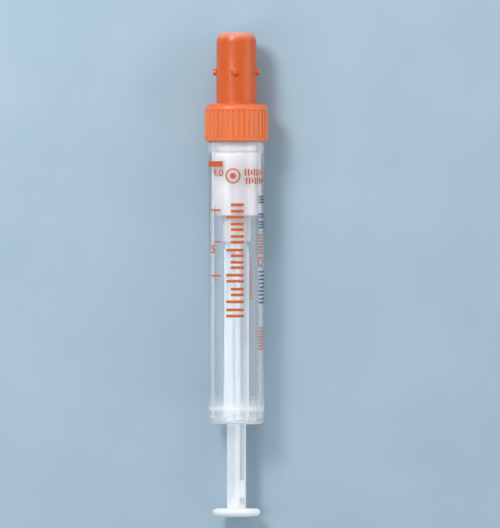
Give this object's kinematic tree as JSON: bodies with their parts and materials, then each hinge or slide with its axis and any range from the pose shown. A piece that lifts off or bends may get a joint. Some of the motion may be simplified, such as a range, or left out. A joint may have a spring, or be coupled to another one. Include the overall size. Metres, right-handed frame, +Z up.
{
  "type": "blood collection tube",
  "caption": "Clear round tube with a ribbed screw cap, a hollow nose with bayonet pins, a rubber membrane, and a piston on a cross-ribbed rod with a thumb disc, for drawing and holding blood.",
  "frame": {"origin": "centre of the bounding box's footprint, on the surface that the tube lies on", "axes": "+Y along the tube towards the nose of the cap, +Z up, +X across the tube; the tube lies on its cap ribs and base edge, so its axis climbs towards the nose by under one degree"},
  "size_m": [0.0182, 0.1392, 0.0182],
  "materials": {
    "clear_plastic": "clear polished polypropylene",
    "cap_plastic": "orange moulded polyethylene, half gloss",
    "membrane_rubber": "matt grey rubber",
    "piston_plastic": "white moulded polyethylene",
    "rod_plastic": "natural moulded polypropylene, slightly see-through"
  },
  "bodies": {
    "barrel": {"tube": "clear_plastic"},
    "piston": {"piston": "piston_plastic"},
    "rod": {"plunger_rod": "rod_plastic"},
    "membrane": {"membrane": "membrane_rubber"},
    "cap": {"screw_cap": "cap_plastic"}
  },
  "joints": [
    {"name": "piston_draw", "type": "slide", "parent": "barrel", "child": "piston", "axis": [0, -0.9999, -0.013], "range_m": [0, 0.0577]},
    {"name": "rod_spin", "type": "hinge", "parent": "piston", "child": "rod", "pos_m": [0, 0.0168, 0.00876], "axis": [0, 0.9999, 0.013], "continuous": true},
    {"name": "cap_lift", "type": "slide", "parent": "barrel", "child": "membrane", "axis": [0, 0.9999, 0.013], "range_m": [0, 0.0112]},
    {"name": "cap_turn", "type": "hinge", "parent": "membrane", "child": "cap", "pos_m": [0, 0.0477, 0.00916], "axis": [0, 0.9999, 0.013], "range_deg": [0, 1260]}
  ],
  "couplings": [
    {"joint": "cap_turn", "follows": "cap_lift", "rad_per_m": 1963.5}
  ]
}
